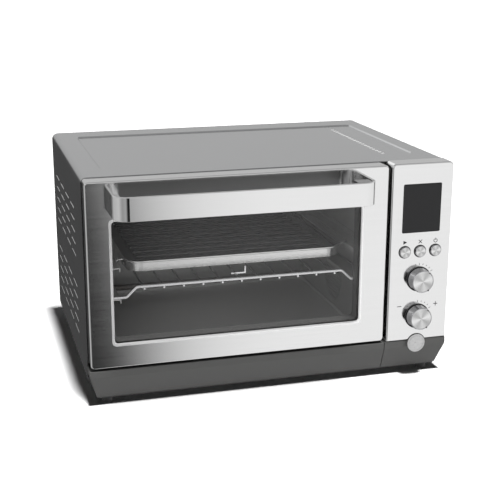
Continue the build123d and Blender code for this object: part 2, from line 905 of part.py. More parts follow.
with BuildPart() as window_bezel:
    with BuildSketch(facing(front + bezel_depth)):
        add(
            panel(
                window[0] + seat_clearance,
                window[1] - seat_clearance,
                window[2] + seat_clearance,
                window[3] - seat_clearance,
                window_corner - seat_clearance,
            )
        )
        add(
            panel(
                window[0] + bezel_rim,
                window[1] - bezel_rim,
                window[2] + bezel_rim,
                window[3] - bezel_rim,
                window_corner - 2,
            ),
            mode=Mode.SUBTRACT,
        )
    extrude(amount=bezel_depth + bezel_proud)
    front_rims = window_bezel.faces().sort_by(Axis.Y)[0]
    chamfer(front_rims.inner_wires()[0].edges(), 1.2)
    fillet(window_bezel.faces().sort_by(Axis.Y)[0].outer_wire().edges(), 0.4)
save(window_bezel.part, "window_bezel")

with BuildPart() as door_glass:
    with BuildSketch(facing(glass_y[1])):
        add(panel(*glass_x, *glass_z, window_corner + 2))
    extrude(amount=glass_thickness)
save(door_glass.part, "door_glass")

liner_y = (front + door_depth - sheet, front + door_depth)
lens_lip = 4.0
with BuildPart() as door_liner:
    with BuildSketch(facing(liner_y[1])):
        add(
            panel(
                inner_left, inner_right, door_low + sheet, door_high - sheet, door_corner - sheet
            )
        )
        add(
            panel(
                window[0] + lens_lip,
                window[1] - lens_lip,
                window[2] + lens_lip,
                window[3] - lens_lip,
                window_corner,
            ),
            mode=Mode.SUBTRACT,
        )
    extrude(amount=sheet)
    # inner collar that presses the glass forward
    with BuildSketch(facing(liner_y[1])):
        add(
            panel(
                window[0] + lens_lip - sheet,
                window[1] - lens_lip + sheet,
                window[2] + lens_lip - sheet,
                window[3] - lens_lip + sheet,
                window_corner + sheet,
            )
        )
        add(
            panel(
                window[0] + lens_lip,
                window[1] - lens_lip,
                window[2] + lens_lip,
                window[3] - lens_lip,
                window_corner,
            ),
            mode=Mode.SUBTRACT,
        )
    extrude(amount=liner_y[1] - glass_y[1])
    for x in (arm_left, arm_right):
        cheek_low = max(x - notch_half - cheek_thick, inner_left)
        cheek_high = min(x + notch_half + cheek_thick, inner_right)
        block(
            (cheek_low, cheek_high),
            (liner_y[0] - 1, liner_y[1] + 1),
            (door_low, hinge_z + 8),
            Mode.SUBTRACT,
        )
save(door_liner.part, "door_liner")

seal_width = 7.0
seal_out = 14.0
with BuildPart() as door_seal:
    seal_box = (
        max(window[0] - seal_out, inner_left + 3),
        window[1] + seal_out,
        window[2] - seal_out + 6,
        window[3] + seal_out,
    )
    with BuildSketch(facing(front + frame_setback - slide_gap)):
        add(panel(*seal_box, 14))
        add(
            panel(
                seal_box[0] + seal_width,
                seal_box[1] - seal_width,
                seal_box[2] + seal_width,
                seal_box[3] - seal_width,
                8,
            ),
            mode=Mode.SUBTRACT,
        )
    extrude(amount=frame_setback - slide_gap - door_depth)
save(door_seal.part, "door_seal")

# ---------------------------------------------------------------- handle
with BuildPart() as handle:
    with BuildSketch(Plane.XY.offset(handle_z[0])):
        add(panel(*handle_x, front - handle_reach, front, handle_corner, "lower"))
        add(
            panel(
                handle_x[0] + handle_thick,
                handle_x[1] - handle_thick,
                front - handle_reach + handle_thick,
                front + 5,
                handle_corner - handle_thick,
                "lower",
            ),
            mode=Mode.SUBTRACT,
        )
    extrude(amount=handle_height)
    fillet(handle.faces().filter_by(Axis.Z).edges().filter_by(Axis.X), 0.9)
    # a boss inside each leg takes the screw from behind the door panel
    for x, side in zip(screw_places, (-1, 1)):
        block(
            sorted((x - side * 5, x + side * 5)),
            (front - boss_length, front),
            (handle_mid - 7, handle_mid + 7),
        )
        along_y(handle_screw, x, (front - boss_length + 2, front + 1), handle_mid, Mode.SUBTRACT)
save(handle.part, "handle")

with BuildPart() as handle_screws:
    for x in screw_places:
        along_y(handle_screw, x, (front - boss_length + 2.5, front + sheet), handle_mid)
        along_y(4.0, x, (front + sheet, front + sheet + 2.2), handle_mid)
save(handle_screws.part, "handle_screws")

# ---------------------------------------------------------------- door hinge
arm_end = frame_y[1] + arm_tail


def hinge_arm(x, outward):
    """Fixed arm: an eye round the hinge pin, a bar through the frame and a flange behind it."""
    with BuildPart() as arm:
        with BuildSketch(Plane.YZ.offset(x - arm_thick / 2)):
            with Locations((hinge_y, hinge_z)):
                Circle(arm_half_height)
            with Locations(((hinge_y + arm_end) / 2, hinge_z)):
                Rectangle(arm_end - hinge_y, 2 * arm_half_height)
            with Locations((hinge_y, hinge_z)):
                Circle(hinge_pin + run_clearance, mode=Mode.SUBTRACT)
        extrude(amount=arm_thick)
        block(
            sorted((x + outward * arm_thick / 2, x + outward * 8)),
            (frame_y[1], frame_y[1] + 1.5),
            (hinge_z - 6.5, hinge_z + 6.5),
        )
    return arm.part


save(hinge_arm(arm_left, -1), "hinge_arm_left")
save(hinge_arm(arm_right, 1), "hinge_arm_right")

lug_reach = front + sheet + 14
with BuildPart() as hinge_lugs:
    for x in (arm_left, arm_right):
        outer = (
            max(x - notch_half - cheek_thick, inner_left),
            min(x + notch_half + cheek_thick, inner_right),
        )
        block(outer, (front + sheet, lug_reach), (door_low + sheet, hinge_z + 6))
        block(
            (x - notch_half, x + notch_half),
            (hinge_y - arm_half_height - 0.6, lug_reach + 1),
            (door_low, hinge_z + 7),
            Mode.SUBTRACT,
        )
    along_x(hinge_pin, (door_left, door_right), hinge_y, hinge_z, Mode.SUBTRACT)
    # trimmed to the rounded inner corners of the door panel
    with BuildSketch(facing(lug_reach)):
        add(panel(inner_left, inner_right, door_low + sheet, door_high, door_corner - sheet))
    extrude(amount=lug_reach - front, mode=Mode.INTERSECT)
save(hinge_lugs.part, "hinge_lugs")

with BuildPart() as hinge_pins:
    for x in (arm_left, arm_right):
        low = max(x - notch_half - cheek_thick - 0.6, inner_left)
        high = min(x + notch_half + cheek_thick, inner_right - 0.6)
        along_x(hinge_pin, (low, high), hinge_y, hinge_z)
save(hinge_pins.part, "hinge_pins")

spring_wire = 0.45
spring_radius = hinge_pin + spring_wire + 0.3
spring_x = inner_left + 0.7
spring_length = arm_left - notch_half - cheek_thick - spring_x - 2 * spring_wire
with BuildPart() as hinge_spring:
    with BuildLine() as coil:
        Helix(
            pitch=2.6 * spring_wire,
            height=spring_length,
            radius=spring_radius,
            center=(spring_x + spring_wire, hinge_y, hinge_z),
            direction=(1, 0, 0),
        )
    with BuildSketch(Plane(origin=coil.line @ 0, z_dir=coil.line % 0)):
        Circle(spring_wire)
    sweep()
save(hinge_spring.part, "hinge_spring")

# ---------------------------------------------------------------- control column
housing_left = panel_left + sheet + seat_clearance
housing_right = half - sheet - seat_clearance
housing_face = (front + 1.0, front + 3.0)
housing_back = front + layer_depth - seat_clearance
carrier_low = base + 38
carrier_high = top - carrier_top_gap
button_x = [column_x + step * button_pitch for step in (-1, 0, 1)]
knob_levels = (knob_upper_z, knob_lower_z)
display_box = (
    column_x - display_width / 2,
    column_x + display_width / 2,
    display_z - display_height / 2,
    display_z + display_height / 2,
)
fascia_low = tray_front_top + 0.7

with BuildPart() as control_fascia:
    with BuildSketch(facing(front + layer_depth)):
        add(panel(panel_left, half, fascia_low, top, 6.0, "upper"))
    extrude(amount=layer_depth)
    fillet(control_fascia.faces().sort_by(Axis.Y)[0].edges(), edge_round)
    with BuildSketch(facing(front + layer_depth)):
        add(panel(panel_left + sheet, half - sheet, fascia_low - 5, top - sheet, 5.2, "upper"))
    extrude(amount=layer_depth - sheet, mode=Mode.SUBTRACT)
    with BuildSketch(facing(front + sheet)):
        add(panel(*display_box, 2.0))
        with Locations([(x, button_z) for x in button_x]):
            Circle(button_hole + 0.05)
        with Locations([(column_x, z) for z in knob_levels]):
            Circle(knob_shaft + 2)
        with Locations((column_x, badge_z)):
            Circle(badge_radius + 0.9)
    extrude(amount=2 * sheet, both=True, mode=Mode.SUBTRACT)
save(control_fascia.part, "control_fascia")

with BuildPart() as control_housing:
    # lower moulding, the right-hand end of the dark base
    with BuildSketch(facing(tray_front_back)):
        add(skirt_outline(half, seam + seam_clearance))
    extrude(amount=tray_front_depth)
    with BuildSketch(Plane.YZ.offset(seam - 5)):
        add(skirt_section(0))
    extrude(amount=half - seam + 10, mode=Mode.INTERSECT)
    with BuildSketch(Plane.YZ.offset(seam + moulding_wall)):
        add(skirt_section(moulding_wall))
    extrude(amount=half - seam - taper_side - 2 * moulding_wall, mode=Mode.SUBTRACT)
    # upright carrier behind the stainless fascia
    block((housing_left, housing_right), (housing_face[0], housing_back), (carrier_low, carrier_high))
    block(
        (housing_left + 2, housing_right - 2),
        (housing_face[1], housing_back + 1),
        (carrier_low + 1.5, carrier_high - carrier_roof),
        Mode.SUBTRACT,
    )
    with BuildSketch(facing(housing_face[1])):
        add(panel(*display_box, 2.0))
        with Locations([(x, button_z) for x in button_x]):
            Circle(button_hole + 0.05)
        with Locations([(column_x, z) for z in knob_levels]):
            Circle(knob_shaft + 2)
    extrude(amount=5, mode=Mode.SUBTRACT)
    # seat for the badge
    along_y(badge_radius + 0.05, column_x, (front - 5, front + 4), badge_z, Mode.SUBTRACT)
save(control_housing.part, "control_housing")

with BuildPart() as badge_disc:
    along_y(badge_radius, column_x, (front - badge_proud, front + 4), badge_z)
    fillet(badge_disc.faces().sort_by(Axis.Y)[0].edges(), 0.6)
    # plain concentric groove
    with BuildSketch(facing(front - badge_proud)):
        with Locations((column_x, badge_z)):
            Circle(badge_radius - 2.0)
            Circle(badge_radius - 2.8, mode=Mode.SUBTRACT)
    extrude(amount=-0.4, mode=Mode.SUBTRACT)
save(badge_disc.part, "badge_disc")

with BuildPart() as display_lens:
    with BuildSketch(facing(front + 3.0)):
        add(
            panel(
                display_box[0] + seat_clearance,
                display_box[1] - seat_clearance,
                display_box[2] + seat_clearance,
                display_box[3] - seat_clearance,
                2.0 - seat_clearance,
            )
        )
    extrude(amount=3.0 - display_recess)
save(display_lens.part, "display_lens")

with BuildPart() as display_module:
    block(
        (display_box[0] - module_rim, display_box[1] + module_rim),
        (front + 3.2, board_y),
        (display_box[2] - module_rim, display_box[3] + module_rim),
    )
save(display_module.part, "display_module")

switch_y = front + 3.4 + 1.2 + button_travel + 3.0
with BuildPart() as control_board:
    block(
        (housing_left + 3, housing_right - 3),
        (board_y, board_y + board_thick),
        (knob_lower_z - 22, top - 12),
    )
    for x in button_x:
        block((x - 3, x + 3), (switch_y, board_y), (button_z - 3, button_z + 3))
    for z in (knob_lower_z + 26, display_z):
        block(
            (column_x - 12, column_x + 12),
            (board_y + board_thick, board_y + board_thick + 5),
            (z - 8, z + 8),
        )
save(control_board.part, "control_board")

with BuildPart() as button_rings:
    for x in button_x:
        along_y(button_hole, x, (front - 0.6, housing_face[1]), button_z)
        along_y(
            button_radius + button_clearance, x, (front - 2, housing_face[1] + 1), button_z,
            Mode.SUBTRACT,
        )
save(button_rings.part, "button_rings")


def push_button(x):
    """Round cap with a retaining flange and a stem that reaches the switch."""
    with BuildPart() as button:
        along_y(button_radius, x, (front - button_proud, housing_face[1] + 0.4), button_z)
        fillet(button.faces().sort_by(Axis.Y)[0].edges(), 0.5)
        along_y(button_hole + 0.6, x, (housing_face[1] + 0.4, housing_face[1] + 1.6), button_z)
        along_y(2.5, x, (housing_face[1] + 1.6, switch_y - button_travel - slide_gap), button_z)
    return button.part


for x, side in zip(button_x, ("left", "middle", "right")):
    save(push_button(x), f"button_{side}")

with BuildPart() as knob_rings:
    for z in knob_levels:
        along_y(knob_ring, column_x, (front - 1.2, front), z)
        along_y(knob_shaft + 2, column_x, (front - 2, front + 1), z, Mode.SUBTRACT)
save(knob_rings.part, "knob_rings")

knob_back = front - 1.6
shaft_end = front + 9.8


def control_knob(z):
    """Hollow round knob: slightly tapered skirt, rounded rim and a hub on the shaft."""
    with BuildPart() as knob:
        with BuildSketch(facing(knob_back)):
            with Locations((column_x, z)):
                Circle(knob_radius)
        extrude(amount=knob_depth - 1.6, taper=3)
        fillet(knob.faces().sort_by(Axis.Y)[0].edges(), 1.0)
        along_y(knob_radius - 3, column_x, (front - knob_depth + 3, knob_back + 1), z, Mode.SUBTRACT)
        along_y(5.0, column_x, (front - knob_depth + 2, knob_back), z)
        along_y(knob_shaft, column_x, (front - knob_depth + 4, knob_back + 1), z, Mode.SUBTRACT)
        # shallow dished face
        along_y(
            knob_radius - 3.2, column_x, (front - knob_depth - 1, front - knob_depth + 0.5), z,
            Mode.SUBTRACT,
        )
    return knob.part


def knob_axle(z):
    """Shaft that turns with its knob, inside the encoder's bush."""
    with BuildPart() as axle:
        along_y(knob_shaft, column_x, (front - knob_depth + 4, shaft_end), z)
    return axle.part


for z, place in zip(knob_levels, ("upper", "lower")):
    save(control_knob(z), f"knob_{place}")
    save(knob_axle(z), f"knob_shaft_{place}")

with BuildPart() as knob_encoders:
    for z in knob_levels:
        block((column_x - 6.5, column_x + 6.5), (front + 5.5, board_y), (z - 6.5, z + 6.5))
        along_y(knob_shaft + 1.6, column_x, (housing_face[1] + 0.5, front + 6), z)
        along_y(
            knob_shaft + run_clearance, column_x, (front + 2, shaft_end + 0.5), z, Mode.SUBTRACT
        )
save(knob_encoders.part, "knob_encoders")

# ---------------------------------------------------------------- power electronics
power_x = half - 14
power_y = (front + 60, front + 230)
power_z = (base + 60, top - 50)
with BuildPart() as power_board:
    block((power_x, power_x + board_thick), power_y, power_z)
    for y in (power_y[0] + 20, power_y[0] + 48, power_y[0] + 76):
        block((power_x - 16, power_x), (y - 10, y + 10), (power_z[1] - 40, power_z[1] - 12))
    block(
        (power_x - 18, power_x), (power_y[1] - 50, power_y[1] - 12), (power_z[1] - 50, power_z[1] - 12)
    )
    for z in (power_z[0] + 8, power_z[0] + 24):
        block((power_x - 8, power_x), (power_y[0] + 10, power_y[0] + 40), (z, z + 8))
    for y in (power_y[0] + 8, power_y[1] - 8):
        for z in (power_z[0] + 8, power_z[1] - 6):
            along_x(2.5, (power_x + board_thick, half - sheet), y, z)
save(power_board.part, "power_board")
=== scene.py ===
# %% [markdown]
# # A countertop toaster oven
#
# The oven is a stainless box with a drop-down glass door, a flat bent handle, a column of
# controls at its right and a dark base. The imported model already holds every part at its
# real size and place. This lesson gives each part its finish, adds the small formed metal
# that is easier to make as a mesh, and sets up a small photographic studio round it.

import json
from math import cos, pi, radians, sin

import bmesh
import bpy
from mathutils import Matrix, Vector


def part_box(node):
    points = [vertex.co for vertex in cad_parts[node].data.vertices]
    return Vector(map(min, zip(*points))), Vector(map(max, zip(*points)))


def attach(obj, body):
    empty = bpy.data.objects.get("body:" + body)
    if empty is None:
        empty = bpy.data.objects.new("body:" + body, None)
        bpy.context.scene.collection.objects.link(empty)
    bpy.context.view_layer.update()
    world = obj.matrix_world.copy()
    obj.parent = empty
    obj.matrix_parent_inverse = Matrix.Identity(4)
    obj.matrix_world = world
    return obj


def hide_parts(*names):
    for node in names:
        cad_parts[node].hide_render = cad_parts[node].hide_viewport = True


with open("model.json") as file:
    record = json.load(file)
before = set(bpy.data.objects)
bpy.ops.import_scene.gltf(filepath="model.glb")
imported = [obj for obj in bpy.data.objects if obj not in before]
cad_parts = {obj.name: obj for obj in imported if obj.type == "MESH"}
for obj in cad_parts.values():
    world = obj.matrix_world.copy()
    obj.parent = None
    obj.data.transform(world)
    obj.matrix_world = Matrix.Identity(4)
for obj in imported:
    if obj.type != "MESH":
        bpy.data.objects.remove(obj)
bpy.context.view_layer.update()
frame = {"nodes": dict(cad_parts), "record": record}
nodes = frame["nodes"]

# %% [markdown]
# Sizes come from the frame wherever a part can give them. The rest are a maker's sizes for
# this oven in metres: how far apart the louvres stand, how thick a bead is, and so on.

# %% Places that the later cells share
MM = 0.001
cover_low, cover_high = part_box("outer_cover")
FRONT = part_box("control_fascia")[0].y


def middle(name):
    """Centre of a CAD node's box."""
    low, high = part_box(name)
    return (low + high) / 2


print("front plane y", round(FRONT, 4))

# %% [markdown]
# ## A bench for shader nodes
#
# A finish is easier to read as a formula than as a heap of linked boxes. `Signal` wraps one
# socket, so that `0.3 + 0.1 * grain` adds the Math nodes by itself. `Bench` adds every other
# node through one method, which sets the node's settings first and then its sockets.

# %% Signal and Bench


class Signal:
    """One output socket. Arithmetic on it adds Math nodes."""

    def __init__(self, bench, socket):
        self.bench = bench
        self.socket = socket

    def _math(self, operation, first, second):
        return self.bench.node("ShaderNodeMath", {"operation": operation}, {0: first, 1: second})

    def __add__(self, other):
        return self._math("ADD", self, other)

    __radd__ = __add__

    def __mul__(self, other):
        return self._math("MULTIPLY", self, other)

    __rmul__ = __mul__

    def __sub__(self, other):
        return self._math("SUBTRACT", self, other)

    def __rsub__(self, other):
        return self._math("SUBTRACT", other, self)

    def __truediv__(self, other):
        return self._math("DIVIDE", self, other)

    def clamped(self):
        """The signal kept between 0 and 1."""
        return self._math("MINIMUM", self._math("MAXIMUM", self, 0.0), 1.0)

    def sine(self):
        """The sine of the signal, in radians."""
        return self.bench.node("ShaderNodeMath", {"operation": "SINE"}, {0: self})


class Bench:
    """A node tree being built, for a material or for the studio's sky."""

    def __init__(self, tree):
        self.tree = tree

    def node(self, kind, settings=None, inputs=None, output=0):
        """Adds one node. A settings entry named stops fills a colour ramp."""
        made = self.tree.nodes.new(kind)
        for name, value in (settings or {}).items():
            if name == "stops":
                ramp = made.color_ramp.elements
                while len(ramp) < len(value):
                    ramp.new(0.5)
                for stop, (place, colour) in zip(ramp, value):
                    stop.position = place
                    stop.color = (*colour, 1.0)
            else:
                setattr(made, name, value)
        for key, value in (inputs or {}).items():
            self.feed(made.inputs[key], value)
        return Signal(self, made.outputs[output])

    def feed(self, socket, value):
        """Links a Signal to a socket, or sets the socket's own number or colour."""
        if isinstance(value, Signal):
            self.tree.links.new(value.socket, socket)
        elif socket.type == "RGBA" and len(value) == 3:
            socket.default_value = (*value, 1.0)
        else:
            socket.default_value = value

    def place(self):
        """Position on the part, in metres in its own frame."""
        return self.node("ShaderNodeTexCoord", output="Object")

    def axis(self, name):
        """One coordinate of the position."""
        return self.node("ShaderNodeSeparateXYZ", inputs={0: self.place()}, output=name)

    def noise(self, per_metre, detail=2.0, roughness=0.5):
        """Noise whose grain has so many features per metre along X, Y and Z."""
        scaled = self.node(
            "ShaderNodeVectorMath", {"operation": "MULTIPLY"}, {0: self.place(), 1: per_metre}
        )
        return self.node(
            "ShaderNodeTexNoise",
            {"noise_dimensions": "3D"},
            {"Vector": scaled, "Scale": 1.0, "Detail": detail, "Roughness": roughness},
            output="Fac",
        )

    def blend(self, factor, first, second):
        """A colour between two colours."""
        made = self.tree.nodes.new("ShaderNodeMix")
        made.data_type = "RGBA"
        self.feed(made.inputs[0], factor)
        self.feed(made.inputs[6], first)
        self.feed(made.inputs[7], second)
        return Signal(self, made.outputs[2])

    def bump(self, height, depth):
        """A surface normal from a height between 0 and 1, where 1 stands depth metres proud."""
        return self.node(
            "ShaderNodeBump", {}, {"Height": height, "Distance": depth, "Strength": 1.0}
        )


finishes = {}


def finish(name, **sockets):
    """Starts a material. Returns its bench and its main shader."""
    material = bpy.data.materials.new(name)
    material.use_nodes = True
    tree = material.node_tree
    shader = tree.nodes["Principled BSDF"]
    bench = Bench(tree)
    for key, value in sockets.items():
        bench.feed(shader.inputs[key.replace("_", " ").title().replace("Ior", "IOR")], value)
    finishes[name] = material
    return bench, shader


# %% [markdown]
# ## Brushed stainless steel
#
# A belt sander leaves fine parallel scratches in the sheet. They are long in one direction
# and a fraction of a millimetre wide in the other, so stretched noise makes them. Two sizes
# are mixed: the scratches themselves, and the broader bands that the belt leaves. They vary
# the roughness and, very slightly, the colour and the height. A faint cloud of handling
# marks keeps the large panels from looking like plastic.

# %% Brushed steel
ALONG = 14.0
ACROSS = 1700.0
BAND_ACROSS = 260.0


def stretched(grain, along, across):
    """Noise features per metre, few along the grain's axis and many across it."""
    return tuple(along if axis == grain else across for axis in "XYZ")


def brushed_steel(name, grain, colour, shine, contrast):
    """Stainless steel brushed along one axis. shine is its mean roughness."""
    bench, shader = finish(name, metallic=1.0, specular_ior_level=0.5)
    scratches = bench.noise(stretched(grain, ALONG, ACROSS), detail=3.0, roughness=0.6)
    bands = bench.noise(stretched(grain, ALONG / 4, BAND_ACROSS), detail=2.0)
    clouds = bench.noise((9.0, 9.0, 9.0), detail=3.0)
    grit = scratches * 0.65 + bands * 0.35
    rough = (grit - 0.5) * (0.16 * contrast) + shine + (clouds - 0.5) * 0.06
    darker = tuple(c * (1 - 0.20 * contrast) for c in colour)
    lighter = tuple(min(c * (1 + 0.10 * contrast), 1.0) for c in colour)
    bench.feed(shader.inputs["Roughness"], rough)
    bench.feed(shader.inputs["Base Color"], bench.blend(grit, darker, lighter))
    bench.feed(shader.inputs["Normal"], bench.bump(scratches, 0.000012 * contrast))


brushed_steel("cover_steel", "Y", (0.53, 0.535, 0.54), 0.17, 0.5)
brushed_steel("door_steel", "X", (0.80, 0.80, 0.80), 0.11, 0.35)
brushed_steel("handle_steel", "X", (0.80, 0.80, 0.80), 0.11, 0.30)
print("brushed steels:", list(finishes))

# %% [markdown]
# ## Plated, plain and heat-marked metal
#
# Chrome and machined steel need less: a little roughness and a few fine scratches. Zinc-coated
# sheet shows its crystals, which Voronoi cells make. A heating rod's sheath is dull and
# unevenly browned, and bakeware is satin with a soft cloud of wear.

# %% Other metals


def plain_metal(name, colour, shine, cloud, per_metre=(60.0, 60.0, 60.0)):
    """Smooth metal with a soft unevenness in its gloss."""
    bench, shader = finish(name, metallic=1.0)
    worn = bench.noise(per_metre, detail=4.0, roughness=0.6)
    fine = bench.noise((900.0, 900.0, 900.0), detail=2.0)
    bench.feed(shader.inputs["Roughness"], (worn - 0.5) * cloud + (fine - 0.5) * 0.06 + shine)
    dull, fresh = (tuple(min(c * k, 1.0) for c in colour) for k in (1.0 - cloud, 1.0 + cloud / 2))
    tint = bench.blend(worn, dull, fresh)
    bench.feed(shader.inputs["Base Color"], tint)
    bench.feed(shader.inputs["Normal"], bench.bump(fine, 0.00001))


# a brighter copy of the cover's steel for the louvre lips: a painted highlight
plain_metal("painted_highlight_sheet", (0.92, 0.92, 0.92), 0.30, 0.05)
plain_metal("rack_chrome", (0.58, 0.58, 0.585), 0.16, 0.10)
plain_metal("hardware_steel", (0.58, 0.58, 0.58), 0.28, 0.15)
plain_metal("pan_metal", (0.60, 0.60, 0.595), 0.25, 0.04, (20.0, 20.0, 20.0))
plain_metal("badge_metal", (0.68, 0.68, 0.68), 0.34, 0.34, (420.0, 420.0, 420.0))


def zinc_steel():
    """Galvanised sheet with its faint crystal pattern."""
    bench, shader = finish("zinc_steel", metallic=1.0)
    scaled = bench.node(
        "ShaderNodeVectorMath", {"operation": "SCALE"}, {0: bench.place(), "Scale": 110.0}
    )
    crystal = bench.node(
        "ShaderNodeTexVoronoi", {"feature": "F1"}, {"Vector": scaled, "Scale": 1.0}, output="Color"
    )
    level = bench.node("ShaderNodeSeparateColor", {}, {0: crystal})
    bench.feed(shader.inputs["Roughness"], level * 0.18 + 0.30)
    shade = bench.blend(level, (0.40, 0.41, 0.42), (0.54, 0.55, 0.56))
    bench.feed(shader.inputs["Base Color"], shade)


def heater_sheath():
    """Heating rod: matt steel, browned in soft patches along its length."""
    bench, shader = finish("heater_sheath", metallic=0.8)
    patches = bench.noise((22.0, 60.0, 60.0), detail=3.0)
    shade = bench.blend(patches, (0.13, 0.115, 0.10), (0.27, 0.25, 0.235))
    bench.feed(shader.inputs["Base Color"], shade)
    bench.feed(shader.inputs["Roughness"], patches * 0.2 + 0.42)


def spun_metal(name, centre_node, colour):
    """Lathe-turned face, with painted highlights: light and dark wedges that fan out from the
    centre.
    """
    bench, shader = finish(name, metallic=1.0)
    centre = middle(centre_node)
    across = bench.axis("X") - centre.x
    upward = bench.axis("Z") - centre.z
    angle = bench.node("ShaderNodeMath", {"operation": "ARCTAN2"}, {0: upward, 1: across})
    # the light and dark wedges are painted highlights in the base colour
    painted_highlight_wedges = (angle * 4.0 + 0.6).sine() * 0.32 + (angle * 2.0 + 0.9).sine() * 0.18 + 0.5
    turning = bench.noise((2600.0, 2600.0, 2600.0), detail=1.0)
    shade = bench.blend(painted_highlight_wedges.clamped(), tuple(c * 0.50 for c in colour), colour)
    bench.feed(shader.inputs["Base Color"], shade)
    bench.feed(shader.inputs["Roughness"], turning * 0.10 + 0.24)


zinc_steel()
heater_sheath()
BUTTONS = ("button_left", "button_middle", "button_right")
KNOBS = ("knob_upper", "knob_lower")
for part in BUTTONS + KNOBS:
    spun_metal(f"spun_{part}", part, (0.86, 0.86, 0.86))
plain_metal("control_metal", (0.62, 0.62, 0.63), 0.13, 0.05)
print("finishes so far:", len(finishes))

# %% [markdown]
# ## Plastic, enamel, rubber and glass
#
# Moulded plastic has a fine spark-eroded texture that scatters its highlight, so it gets a
# bump a fraction of a millimetre across. Enamel and painted steel are smoother, with the
# slow ripple called orange peel. The door glass is a thin grey tint: its alpha lets the
# light through, and its gloss puts the room's reflection on top.

# %% Coated and moulded surfaces


def coated(name, colour, shine, grain, depth, variation=0.12, metallic=0.0):
    """A painted, enamelled or moulded surface, with a texture of grain features per metre."""
    bench, shader = finish(name, metallic=metallic)
    texture = bench.noise((grain, grain, grain), detail=3.0, roughness=0.55)
    clouds = bench.noise((14.0, 14.0, 14.0), detail=3.0)
    mixed = texture * 0.5 + clouds * 0.5
    dark = tuple(c * (1 - variation) for c in colour)
    light = tuple(min(c * (1 + variation), 1.0) for c in colour)
    bench.feed(shader.inputs["Base Color"], bench.blend(mixed, dark, light))
    bench.feed(shader.inputs["Roughness"], (clouds - 0.5) * 0.12 + (texture - 0.5) * 0.10 + shine)
    bench.feed(shader.inputs["Normal"], bench.bump(texture, depth))


coated("base_plastic", (0.082, 0.082, 0.080), 0.55, 1500.0, 0.00008)
coated("base_steel", (0.05, 0.05, 0.05), 0.50, 700.0, 0.00004)
coated("black_trim", (0.010, 0.010, 0.011), 0.30, 1200.0, 0.00002)
coated("display_glass", (0.012, 0.012, 0.013), 0.14, 120.0, 0.000002, 0.05)
coated("cavity_metal", (0.42, 0.42, 0.415), 0.40, 420.0, 0.000008, 0.08, metallic=0.5)
coated("tray_metal", (0.62, 0.62, 0.615), 0.34, 300.0, 0.000004, 0.05, metallic=0.45)
coated("frame_enamel", (0.085, 0.085, 0.083), 0.36, 300.0, 0.000003)
coated("insert_enamel", (0.055, 0.055, 0.055), 0.30, 60.0, 0.0, 0.05, metallic=0.6)
coated("insulator_white", (0.72, 0.70, 0.65), 0.60, 900.0, 0.00005)
coated("seal_rubber", (0.016, 0.016, 0.016), 0.62, 1000.0, 0.00006)
coated("foot_rubber", (0.032, 0.032, 0.032), 0.66, 900.0, 0.00006)
coated("board_green", (0.025, 0.11, 0.055), 0.38, 600.0, 0.00002)
# a whitish half-metal: its bright line is partly a painted highlight
coated("polished_rim", (0.90, 0.90, 0.90), 0.16, 400.0, 0.000001, 0.03, metallic=0.55)
# whitish half-metal for the vent rims, so the overhead light makes painted glints of them
coated("painted_glint_metal", (0.80, 0.80, 0.80), 0.30, 400.0, 0.000002, 0.04, metallic=0.5)
coated("motor_steel", (0.10, 0.10, 0.10), 0.40, 500.0, 0.00003, metallic=0.6)
coated("print_ink", (0.020, 0.020, 0.022), 0.50, 2000.0, 0.00001)


# the display is made to mirror less than bare glass would
display_shader = finishes["display_glass"].node_tree.nodes["Principled BSDF"]
display_shader.inputs["Specular IOR Level"].default_value = 0.28


def door_glazing():
    """Toughened glass with a light grey tint and the faintest smear on it."""
    bench, shader = finish("door_glazing", base_color=(0.02, 0.02, 0.021), alpha=0.14, ior=1.8)
    smear = bench.noise((7.0, 7.0, 16.0), detail=4.0, roughness=0.6)
    bench.feed(shader.inputs["Roughness"], smear * 0.06 + 0.01)
    shader.inputs["Specular IOR Level"].default_value = 1.0
    finishes["door_glazing"].surface_render_method = "BLENDED"


door_glazing()
print("finishes:", len(finishes))

# %% [markdown]
# Every CAD node names a material slot in the record, and each slot has a finish of the same
# name here, so one loop dresses the whole frame.

# %% Dress the CAD nodes
slot_of = {entry["node"]: entry["material_slot"] for entry in frame["record"]["subparts"]}
for name, node in nodes.items():
    node.data.materials.clear()
    node.data.materials.append(finishes[slot_of[name]])
print("dressed", len(nodes), "nodes")

# %% [markdown]
# ## Mesh helpers
#
# Pieces are drawn straight in the part's frame and then put on the body that carries them,
# so they need no placing. Turned parts are a profile spun about an axis that points out of
# the front of the oven, and bent wire is a curve with a round section.

# %% Mesh helpers
CORNER_STEPS = 8


def piece_from(bench_mesh, name, body, slot, look=None, smooth=True):
    """Makes an object of a bmesh, gives it its finish and puts it on its body."""
    mesh = bpy.data.meshes.new(name)
    bmesh.ops.recalc_face_normals(bench_mesh, faces=bench_mesh.faces)
    bench_mesh.to_mesh(mesh)
    bench_mesh.free()
    for face in mesh.polygons:
        face.use_smooth = smooth
    made = bpy.data.objects.new(name, mesh)
    bpy.context.scene.collection.objects.link(made)
    mesh.materials.append(finishes[look or slot])
    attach(made, body)
    return made


def turned(mesh, centre, profile, segments):
    """Spins (radius, depth) points about the Y axis through centre. Depth runs forward."""
    rings = []
    for radius, depth in profile:
        if radius < 1e-7:
            rings.append([mesh.verts.new((centre.x, centre.y - depth, centre.z))])
            continue
        ring = []
        for i in range(segments):
            angle = 2 * pi * i / segments
            ring.append(
                mesh.verts.new(
                    (
                        centre.x + radius * cos(angle),
                        centre.y - depth,
                        centre.z + radius * sin(angle),
                    )
                )
            )
        rings.append(ring)
    for inner, outer in zip(rings, rings[1:]):
        for i in range(segments):
            j = (i + 1) % segments
            corners = [inner[i % len(inner)], outer[i % len(outer)], outer[j % len(outer)]]
            if len(inner) > 1 and len(outer) > 1:
                corners.append(inner[j])
            elif len(outer) == 1:
                corners = [inner[i], outer[0], inner[j]]
            mesh.faces.new(corners)


